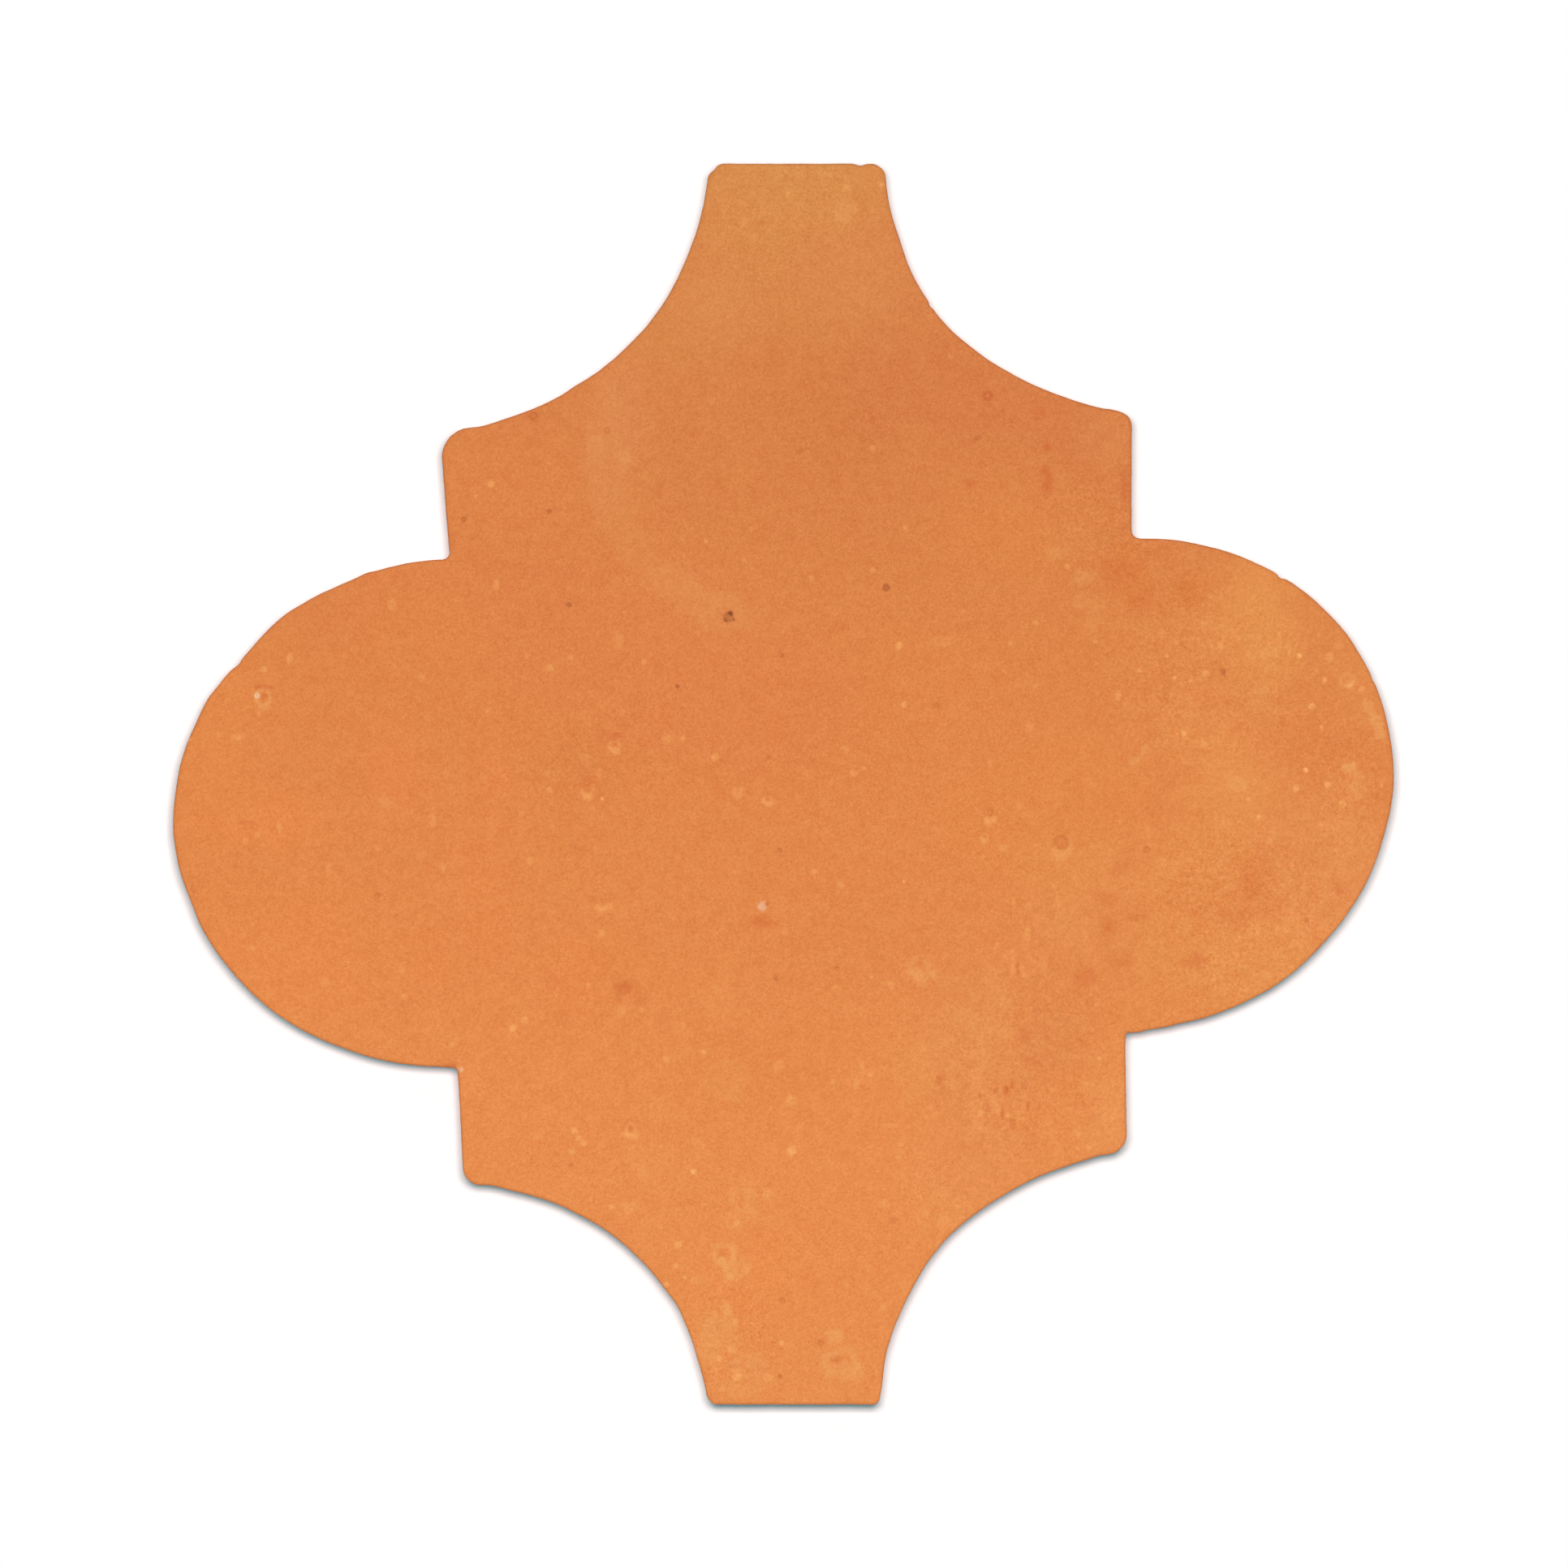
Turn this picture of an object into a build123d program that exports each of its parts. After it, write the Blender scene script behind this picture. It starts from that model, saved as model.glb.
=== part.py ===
# An arabesque saltillo floor tile: one piece of hand-pressed, low-fired clay.
# The tile lies flat with its face up. +Y runs towards the far neck and +X towards the
# right lobe. The origin is on the underside, at the middle of the tile's overall box.

import os

from build123d import *

# Overall size, in millimetres
tile_length = 305.0  # between the flat ends of the two necks
tile_width = 300.0  # between the tips of the two lobes
tile_thickness = 19.0

# The mould's pattern, which is the same in each quarter of the tile
neck_width = 42.5  # the flat end of a neck
shoulder_span = 166.0  # between the left and right shoulder faces
shoulder_reach = 92.5  # from the centre line along Y to a shoulder's corner
notch_reach = 61.5  # from the centre line along Y to the notch where a lobe starts
flank_radius = 64.0  # the hollow sweep from a neck to a shoulder
lobe_fullness = 0.54  # 0.55 makes a lobe's quarter round, and less makes it flatter

# Corners and edges
notch_round = 2.2  # the inner corner between a shoulder face and a lobe
face_round = 0.9  # the softened edge all round the face
foot_chamfer = 0.6  # the worn arris round the underside

# How far the hand-pressed clay strays from the pattern, quarter by quarter.
# A stray is (away from the middle along X, away from the middle along Y).
quarters = {
    "far left": dict(
        side=(-1, 1),
        neck_stray=-2.85,
        shoulder_stray=(1.6, -5.2),
        notch_stray=(-1.0, -6.2),
        flank_stray=5.4,
        fullness_stray=-0.04,
        neck_round=4.0,
        shoulder_round=8.0,
    ),
    "far right": dict(
        side=(1, 1),
        neck_stray=3.65,
        shoulder_stray=(2.5, 0.2),
        notch_stray=(2.5, -1.1),
        flank_stray=-2.9,
        fullness_stray=0.03,
        neck_round=3.2,
        shoulder_round=6.0,
    ),
    "near left": dict(
        side=(-1, -1),
        neck_stray=-2.65,
        shoulder_stray=(-4.4, 6.3),
        notch_stray=(-2.9, 7.9),
        flank_stray=-4.3,
        fullness_stray=0.03,
        neck_round=2.5,
        shoulder_round=5.0,
    ),
    "near right": dict(
        side=(1, -1),
        neck_stray=2.05,
        shoulder_stray=(1.4, -1.5),
        notch_stray=(0.9, -1.0),
        flank_stray=1.2,
        fullness_stray=-0.01,
        neck_round=1.6,
        shoulder_round=6.0,
    ),
}
left_tip_stray = -7.5  # how far the left lobe's tip lies off the centre line, along Y
right_tip_stray = 2.4  # the same for the right lobe's tip


def quarter_corners(quarter):
    """The neck, shoulder, notch and lobe tip corners of one quarter."""
    across, along = quarter["side"]
    shoulder_x, shoulder_y = quarter["shoulder_stray"]
    notch_x, notch_y = quarter["notch_stray"]
    tip_y = left_tip_stray if across < 0 else right_tip_stray
    neck = Vector(across * (neck_width / 2 + quarter["neck_stray"]), along * tile_length / 2)
    shoulder = Vector(
        across * (shoulder_span / 2 + shoulder_x), along * (shoulder_reach + shoulder_y)
    )
    notch = Vector(across * (shoulder_span / 2 + notch_x), along * (notch_reach + notch_y))
    tip = Vector(across * tile_width / 2, tip_y)
    return neck, shoulder, notch, tip


corners = {name: quarter_corners(quarter) for name, quarter in quarters.items()}


with BuildPart() as saltillo_tile:
    # The outline: two necks, four hollow flanks, four shoulders and two round lobes
    with BuildSketch() as outline:
        with BuildLine():
            for end in ("far", "near"):
                Line(corners[f"{end} left"][0], corners[f"{end} right"][0])
            for name, quarter in quarters.items():
                neck, shoulder, notch, tip = corners[name]
                across, along = quarter["side"]
                sweep = flank_radius + quarter["flank_stray"]
                RadiusArc(neck, shoulder, -across * along * sweep)
                Line(shoulder, notch)
                fullness = lobe_fullness + quarter["fullness_stray"]
                tip_handle = tip + Vector(0, fullness * (notch.Y - tip.Y))
                notch_handle = notch + Vector(fullness * (tip.X - notch.X), 0)
                Bezier(tip, tip_handle, notch_handle, notch)
        make_face()
        for name, quarter in quarters.items():
            neck, shoulder, notch, tip = corners[name]
            for corner, corner_round in (
                (neck, quarter["neck_round"]),
                (shoulder, quarter["shoulder_round"]),
                (notch, notch_round),
            ):
                fillet(outline.vertices().sort_by_distance(corner)[0], corner_round)
    extrude(amount=tile_thickness)

    # The pressed face has a soft edge, and the underside a small worn arris
    fillet(saltillo_tile.faces().sort_by(Axis.Z)[-1].edges(), face_round)
    chamfer(saltillo_tile.faces().sort_by(Axis.Z)[0].edges(), foot_chamfer)

saltillo_tile.part.label = "saltillo_tile"
os.makedirs("parts", exist_ok=True)
export_step(saltillo_tile.part, "parts/saltillo_tile.step")
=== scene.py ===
from math import acos, ceil, cos, pi, radians, sin, sqrt, tan

import bpy
import numpy as np
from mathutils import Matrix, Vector, kdtree
from mathutils.geometry import delaunay_2d_cdt
from mathutils.noise import fractal, noise


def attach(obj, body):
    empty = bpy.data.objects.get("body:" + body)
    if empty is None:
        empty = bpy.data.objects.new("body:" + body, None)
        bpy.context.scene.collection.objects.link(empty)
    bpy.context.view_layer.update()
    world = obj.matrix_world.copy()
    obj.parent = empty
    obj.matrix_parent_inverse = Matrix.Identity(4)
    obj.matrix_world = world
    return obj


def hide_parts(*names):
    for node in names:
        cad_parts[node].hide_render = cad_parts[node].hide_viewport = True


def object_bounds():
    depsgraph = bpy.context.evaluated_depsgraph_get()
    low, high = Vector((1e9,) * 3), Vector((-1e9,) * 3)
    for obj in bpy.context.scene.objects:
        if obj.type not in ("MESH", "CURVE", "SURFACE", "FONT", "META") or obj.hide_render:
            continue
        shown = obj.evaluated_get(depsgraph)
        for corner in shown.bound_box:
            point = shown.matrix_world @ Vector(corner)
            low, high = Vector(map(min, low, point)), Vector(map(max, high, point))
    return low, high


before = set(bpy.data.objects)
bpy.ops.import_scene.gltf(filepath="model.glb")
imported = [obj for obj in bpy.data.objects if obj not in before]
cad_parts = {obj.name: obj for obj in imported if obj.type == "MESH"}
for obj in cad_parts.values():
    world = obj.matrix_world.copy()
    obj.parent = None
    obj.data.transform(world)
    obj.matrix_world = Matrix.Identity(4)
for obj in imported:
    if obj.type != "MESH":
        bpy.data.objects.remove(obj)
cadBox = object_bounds()
mm = 0.001  # the sizes below are in millimetres, and meshes are made in metres

# The overall size, from the frame, to the nearest hundredth
tileWidth, tileLength, tileThickness = (round(v / mm, 2) for v in cadBox[1] - cadBox[0])

# Places on the face are read as pixels of the photograph, which looks straight down
photo = {
    "side": 1932,
    "middle": (965.5, 966.5),  # the pixel at the middle of the tile
    "pixel": tileLength / 1529,  # millimetres, as the tile is 1529 pixels long
}


def onFace(column, row):
    x, y = photo["middle"]
    return np.array([(column - x) * photo["pixel"], (y - row) * photo["pixel"]])


def toLinear(screen):
    # colours as they look on the screen, 0 to 255, turned into a material's numbers
    share = np.asarray(screen, float) / 255
    return np.where(share <= 0.04045, share / 12.92, ((share + 0.055) / 1.055) ** 2.4)


def screenColour(red, green, blue):
    # the same for one colour that a socket takes
    return (*(float(part) for part in toLinear((red, green, blue))), 1.0)


def ease(value, low, high):
    # 0 below low, 1 above high, and an easy curve between
    share = np.clip((value - low) / (high - low), 0, 1)
    return share * share * (3 - 2 * share)


def waves(points, long, seed):
    # smooth noise from -1 to 1 at each point, with waves about this long
    return np.array([noise(Vector((x / long, y / long, seed))) for x, y in points])


fineLayers = (2.0, 3)  # rough noise has three layers, each half as long as the one before

print("frame loaded, size in mm:", tileWidth, tileLength, tileThickness)


# One socket of a material, so that shader sums are written as plain Python
class Wire:
    def __init__(self, tree, socket=None):
        self.tree = tree
        self.socket = socket

    def node(self, kind, settings=None, inputs=None, output=0):
        made = self.tree.nodes.new(kind)
        for name, value in (settings or {}).items():
            setattr(made, name, value)
        for name, value in (inputs or {}).items():
            if isinstance(value, Wire):
                self.tree.links.new(value.socket, made.inputs[name])
            else:
                made.inputs[name].default_value = value
        if made.outputs:
            return Wire(self.tree, made.outputs[output])

    def sum(self, operation, first, second):
        return self.node("ShaderNodeMath", {"operation": operation}, {0: first, 1: second})

    def __add__(self, other):
        return self.sum("ADD", self, other)

    def __radd__(self, other):
        return self.sum("ADD", other, self)

    def __sub__(self, other):
        return self.sum("SUBTRACT", self, other)

    def __rsub__(self, other):
        return self.sum("SUBTRACT", other, self)

    def __mul__(self, other):
        return self.sum("MULTIPLY", self, other)

    def __rmul__(self, other):
        return self.sum("MULTIPLY", other, self)

    def stretched(self, x, y, z):
        # this place with its sides multiplied, which makes a pattern longer where they are small
        return self.node("ShaderNodeVectorMath", {"operation": "MULTIPLY"}, {0: self, 1: (x, y, z)})

    def clouds(self, size, detail, rough):
        # noise from 0 to 1 in this place, with lumps about size millimetres across
        inputs = {"Vector": self, "Scale": 1 / (size * mm), "Detail": detail, "Roughness": rough}
        return self.node("ShaderNodeTexNoise", None, inputs)

    def eased(self, low, high, start=0.0, end=1.0):
        # start below low, end above high, and an easy curve between
        inputs = {"Value": self, "From Min": low, "From Max": high, "To Min": start, "To Max": end}
        return self.node("ShaderNodeMapRange", {"interpolation_type": "SMOOTHSTEP"}, inputs)

    def tinted(self, share, colour):
        # this colour with a share of another laid over it
        return self.node("ShaderNodeMix", {"data_type": "RGBA"}, {0: share, 6: self, 7: colour}, 2)

    def shifted(self, amount, change):
        # this colour with a change added to it, amount times over
        inputs = {0: amount, 1: change, 2: self}
        return self.node("ShaderNodeVectorMath", {"operation": "MULTIPLY_ADD"}, inputs)


def newMaterial(name):
    material = bpy.data.materials.new(name)
    material.use_nodes = True
    material.node_tree.nodes.clear()
    return material, Wire(material.node_tree)


# Camera, light and floor
studio = {
    "cameraHeight": 1.2,  # metres
    "cameraReach": 20,  # metres
    "lampHeight": 6.0,  # metres
    "lampAcross": (1.06, 0.66),  # metres, for the narrow soft shadow
    "lampTilt": 2.7,  # degrees from straight overhead, towards the far neck
    "skyShare": 0.04,  # of all the light
    "floorSide": 8.0,  # metres
    "floorDrop": 0.05,  # millimetres below the tile's foot
    # The floor sends back less green and blue than red. The lift adds them everywhere, so that
    # the lit floor is plain white and the shadow beside the orange clay isn't orange
    "floorColour": (0.97, 0.80, 0.77, 1),
    "floorLift": (0.04, 0.21, 0.24, 1),
}


def rayIsSeen(air):
    # 1 for what the camera sees, also in a reflection or through glass
    path = air.node("ShaderNodeLightPath")
    outputs = path.socket.node.outputs
    seen = path + Wire(air.tree, outputs["Is Glossy Ray"])
    return seen + Wire(air.tree, outputs["Is Transmission Ray"])


def buildStudio():
    scene = bpy.context.scene
    scene.view_settings.view_transform = "Standard"

    camera = bpy.data.objects.new("camera", bpy.data.cameras.new("camera"))
    camera.data.type = "ORTHO"
    camera.data.ortho_scale = photo["side"] * photo["pixel"] * mm
    camera.data.clip_end = studio["cameraReach"]
    x, y = onFace(photo["side"] / 2, photo["side"] / 2) * mm
    camera.location = (x, y, studio["cameraHeight"])
    scene.collection.objects.link(camera)
    scene.camera = camera

    lamp = bpy.data.objects.new("lamp", bpy.data.lights.new("lamp", "AREA"))
    lamp.data.shape = "RECTANGLE"
    lamp.data.size, lamp.data.size_y = studio["lampAcross"]
    tilt, height = radians(studio["lampTilt"]), studio["lampHeight"]
    # a white floor under this much power looks plain white, less the share that the sky gives
    lamp.data.energy = pi**2 * height**2 / cos(tilt) ** 4 * (1 - studio["skyShare"])
    lamp.location = (0, height * tan(tilt), height)
    lamp.rotation_euler = (-tilt, 0, 0)
    scene.collection.objects.link(lamp)

    scene.world = bpy.data.worlds.new("sky")
    scene.world.use_nodes = True
    scene.world.node_tree.nodes.clear()
    air = Wire(scene.world.node_tree)
    strength = rayIsSeen(air).eased(0, 1, studio["skyShare"], 1.0)
    glow = air.node("ShaderNodeBackground", None, {"Color": (1, 1, 1, 1), "Strength": strength})
    air.node("ShaderNodeOutputWorld", None, {"Surface": glow})

    half = studio["floorSide"] / 2
    corners = [(-half, -half, 0), (half, -half, 0), (half, half, 0), (-half, half, 0)]
    mesh = bpy.data.meshes.new("floor")
    mesh.from_pydata(corners, [], [(0, 1, 2, 3)])
    floor = bpy.data.objects.new("floor", mesh)
    floor.location.z = -studio["floorDrop"] * mm
    scene.collection.objects.link(floor)
    material, wire = newMaterial("pale floor")
    matte = wire.node("ShaderNodeBsdfDiffuse", None, {"Color": studio["floorColour"]})
    lift = {"Color": studio["floorLift"], "Strength": rayIsSeen(wire).eased(0, 1)}
    shine = wire.node("ShaderNodeEmission", None, lift)
    both = wire.node("ShaderNodeAddShader", None, {0: matte, 1: shine})
    wire.node("ShaderNodeOutputMaterial", None, {"Surface": both})
    mesh.materials.append(material)


buildStudio()
print("studio built")


# The outline, as the mould and the hand left it. 1 is the right or the far side, -1 the left or
# the near one
outlineSizes = {
    # the necks' flat ends, each a little off the tile's overall length, and the lobes' tips
    "neckEnds": {1: tileLength / 2 + 0.05, -1: -tileLength / 2 + 0.1},
    "lobeTips": {1: (tileWidth / 2, 2.4), -1: (-tileWidth / 2, -7.5)},
    # half the neck's width, the shoulder's corner, the inner notch, the radius of the hollow from
    # shoulder to neck, how full the lobe's curve is, and how the corners are rounded
    "quarters": {
        (1, 1): {
            "neck": 24.9, "shoulder": (85.5, 92.7), "notch": (85.5, 60.4),
            "hollow": 61.1, "fullness": 0.57, "neckRound": 3.2, "shoulderRound": 6.0,
            "notchRound": 1.8,
        },
        (-1, 1): {
            "neck": 18.4, "shoulder": (84.6, 87.3), "notch": (82.0, 55.3),
            "hollow": 69.4, "fullness": 0.50, "neckRound": 4.0, "shoulderRound": 7.2,
            "notchRound": 1.5,
        },
        (-1, -1): {
            "neck": 18.6, "shoulder": (78.6, 98.8), "notch": (80.1, 69.4),
            "hollow": 59.7, "fullness": 0.57, "neckRound": 2.5, "shoulderRound": 4.5,
            "notchRound": 1.4,
        },
        (1, -1): {
            "neck": 23.3, "shoulder": (84.4, 91.0), "notch": (83.9, 60.5),
            "hollow": 65.2, "fullness": 0.53, "neckRound": 1.6, "shoulderRound": 5.4,
            "notchRound": 1.2,
        },
    },
    "step": 0.25,  # between the points that the straight runs and hollows are drawn with
    "lobePoints": 160,  # along a quarter's lobe
    "roundPoints": 24,  # round a corner
    "spacing": (0.38, 1.0),  # between the points kept, at corners and along the sweeps
    "spread": (4, 0.09),  # how far the close spacing reaches, and how fast it widens after that
    "wobble": ((0.07, 12), (0.05, 4), (0.05, 1.5)),  # how far, and how long each wave is
}

# Where the hand pushed the wet edge out or in, as column, row, width in mm and how far out in mm
handStrays = [
    (353, 761, 15, 0.70), (452, 708, 5, 0.25), (258, 862, 8, 0.35), (292, 817, 5, -0.30),
    (392, 734, 8, 0.20), (306, 801, 8, -0.22), (217, 972, 10, -0.25), (215, 1026, 6, 0.20),
    (234, 1111, 11, -0.35), (358, 1258, 26, 0.42), (480, 1306, 24, 0.38), (562, 1316, 5, 0.15),
    (592, 523, 10, -0.45), (602, 1464, 8, -0.48), (660, 1474, 10, 0.15), (709, 1492, 8, 0.20),
    (833, 1610, 8, -0.34), (862, 1676, 12, 0.32), (1085, 1706, 9, 0.48), (1140, 1557, 8, -0.20),
    (1167, 1528, 15, -0.42), (1250, 1463, 20, 0.34), (1304, 1438, 8, 0.18), (1358, 1426, 6, -0.50),
    (1386, 1403, 4, 0.10), (1398, 1271, 5, 0.65), (1458, 1258, 8, -0.22), (1579, 1206, 20, 0.42),
    (1706, 1032, 14, -0.28), (1708, 900, 20, -0.20), (1640, 780, 14, 0.30), (1609, 734, 10, 0.45),
    (1566, 705, 7, 0.25), (1589, 718, 4, 0.25), (1519, 685, 26, 0.50), (1441, 664, 14, 0.25),
    (1364, 500, 9, -0.70), (1390, 515, 5, 0.60), (1334, 497, 6, -0.18), (1292, 483, 10, 0.18),
    (1249, 464, 18, 0.38),
    (1176, 409, 7, -0.22), (1151, 382, 14, -0.55), (1142, 372, 5, 0.22), (1121, 332, 8, -0.18),
    (1106, 293, 14, 0.30), (817, 372, 16, -0.25), (791, 406, 8, -0.18), (710, 474, 7, 0.30),
]

# Chips and nicks on the edge, as column, row, width in mm and depth in mm
edgeChips = [
    (879, 209, 2.8, 0.55), (1060, 203, 2.2, 0.60), (1578, 711, 1.7, 0.55), (1147, 376, 1.5, 0.30),
    (567, 1316, 2.0, 0.35), (1689, 838, 1.8, 0.25), (874, 1724, 2.0, 0.15), (1084, 206, 2.4, 0.12),
    (1143, 379, 1.8, 0.35), (292, 817, 2.0, 0.20),
]


def bezierPoints(start, startHandle, endHandle, end, count):
    # a smooth curve that leaves and arrives along its handles
    t = np.linspace(0, 1, count)[:, None]
    return (
        (1 - t) ** 3 * start + 3 * (1 - t) ** 2 * t * startHandle
        + 3 * (1 - t) * t**2 * endHandle + t**3 * end
    )


def linePoints(start, end):
    count = max(2, int(np.linalg.norm(end - start) / outlineSizes["step"]))
    return start + (end - start) * np.linspace(0, 1, count)[:, None]


def hollowPoints(start, end, radius):
    # an arc that bends in towards the tile's middle
    middle, chord = (start + end) / 2, end - start
    across = np.array([-chord[1], chord[0]]) / np.linalg.norm(chord)
    if across @ middle < 0:
        across = -across
    centre = middle + across * sqrt(radius**2 - chord @ chord / 4)
    first, last = start - centre, end - centre
    turn = acos(first @ last / radius**2)
    t = np.linspace(0, 1, int(radius * turn / outlineSizes["step"]))[:, None]
    return centre + (first * np.sin((1 - t) * turn) + last * np.sin(t * turn)) / sin(turn)


def quarterRuns(side):
    # the runs of one quarter from its lobe's tip to its neck, each with its end's rounding
    sizes = outlineSizes["quarters"][side]
    flip = np.array(side)
    tip = np.array(outlineSizes["lobeTips"][side[0]], float)
    notch, shoulder = flip * sizes["notch"], flip * sizes["shoulder"]
    neck = np.array([side[0] * sizes["neck"], outlineSizes["neckEnds"][side[1]]])
    tipHandle = tip + np.array([0, sizes["fullness"] * (notch[1] - tip[1])])
    notchHandle = notch + np.array([sizes["fullness"] * (tip[0] - notch[0]), 0])
    lobe = bezierPoints(tip, tipHandle, notchHandle, notch, outlineSizes["lobePoints"])
    return [
        (lobe, sizes["notchRound"]),
        (linePoints(notch, shoulder), sizes["shoulderRound"]),
        (hollowPoints(shoulder, neck, sizes["hollow"]), sizes["neckRound"]),
    ]


def backwards(runs):
    # the same runs walked the other way, where a rounding belongs to the run before it
    rounds = [r for _, r in runs]
    return [(run[::-1], r) for (run, _), r in zip(runs[::-1], rounds[-2::-1] + [0])]


def cutRun(run, length):
    # the run without its last stretch of that length, and its direction there
    steps = np.linalg.norm(np.diff(run[::-1], axis=0), axis=1).cumsum()
    keep = int(np.searchsorted(steps, length)) + 1
    kept = run[: len(run) - keep]
    return kept, (kept[-1] - kept[-2]) / np.linalg.norm(kept[-1] - kept[-2])


def roundedLoop(runs):
    # the runs joined into one loop with its corners rounded, and where the corners were
    loop = [run for run, _ in runs]
    corners = []
    for i, (_, radius) in enumerate(runs):
        after = (i + 1) % len(runs)
        if radius == 0:
            continue
        corners.append(runs[i][0][-1])
        arriving = loop[i][-1] - loop[i][-3]
        leaving = loop[after][2] - loop[after][0]
        bend = acos(arriving @ leaving / np.linalg.norm(arriving) / np.linalg.norm(leaving))
        cut = radius * tan(bend / 2)
        before, direction = cutRun(loop[i], cut)
        rest, backDirection = cutRun(loop[after][::-1], cut)
        rest = rest[::-1]
        bend = acos(np.clip(-direction @ backDirection, -1, 1))
        gap = np.linalg.norm(rest[0] - before[-1])
        handle = 4 / 3 * tan(bend / 4) * gap / (2 * sin(bend / 2))
        bow = bezierPoints(
            before[-1], before[-1] + direction * handle,
            rest[0] + backDirection * handle, rest[0], outlineSizes["roundPoints"],
        )
        loop[i] = np.vstack([before, bow[1:-1]])
        loop[after] = rest
    points = np.vstack(loop)
    apart = np.linalg.norm(points - np.roll(points, 1, axis=0), axis=1)
    return points[apart > 1e-6], np.array(corners)


def spacedLoop(points, finePlaces):
    # the same loop with points close together at the fine places and further apart elsewhere
    fine, coarse = outlineSizes["spacing"]
    reach, widening = outlineSizes["spread"]
    closed = np.vstack([points, points[:1]])
    near = np.min(np.linalg.norm(closed[:, None] - finePlaces[None], axis=2), axis=1)
    spacing = np.clip(fine + widening * (near - reach), fine, coarse)
    steps = np.linalg.norm(np.diff(closed, axis=0), axis=1)
    along = np.concatenate([[0], (steps / spacing[:-1]).cumsum()])
    count = int(ceil(along[-1]))
    wanted = np.arange(count) * along[-1] / count
    return np.stack([np.interp(wanted, along, closed[:, k]) for k in (0, 1)], axis=1)


def outwards(points):
    # the way straight out of the loop at each point
    ahead = np.roll(points, -1, axis=0) - np.roll(points, 1, axis=0)
    normal = np.stack([ahead[:, 1], -ahead[:, 0]], axis=1)
    return normal / np.linalg.norm(normal, axis=1)[:, None]


def tileOutline(finePlaces):
    # the four quarters and the two neck ends, walked round the tile from the right lobe's tip
    necks = {
        side: np.array([side[0] * sizes["neck"], outlineSizes["neckEnds"][side[1]]])
        for side, sizes in outlineSizes["quarters"].items()
    }
    farEnd = linePoints(necks[1, 1], necks[-1, 1])
    nearEnd = linePoints(necks[-1, -1], necks[1, -1])
    farRound = outlineSizes["quarters"][-1, 1]["neckRound"]
    nearRound = outlineSizes["quarters"][1, -1]["neckRound"]
    runs = quarterRuns((1, 1)) + [(farEnd, farRound)] + backwards(quarterRuns((-1, 1)))
    runs += quarterRuns((-1, -1)) + [(nearEnd, nearRound)] + backwards(quarterRuns((1, -1)))
    points, corners = roundedLoop(runs)
    points = spacedLoop(points, np.vstack([corners, finePlaces]))
    normals = outwards(points)
    out = np.zeros(len(points))
    for column, row, width, far in handStrays:
        apart = np.linalg.norm(points - onFace(column, row), axis=1)
        out += far * np.exp(-((apart / (width / 2)) ** 2))
    for far, long in outlineSizes["wobble"]:
        out += far * waves(points, long, long)
    return points + normals * out[:, None]


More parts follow.
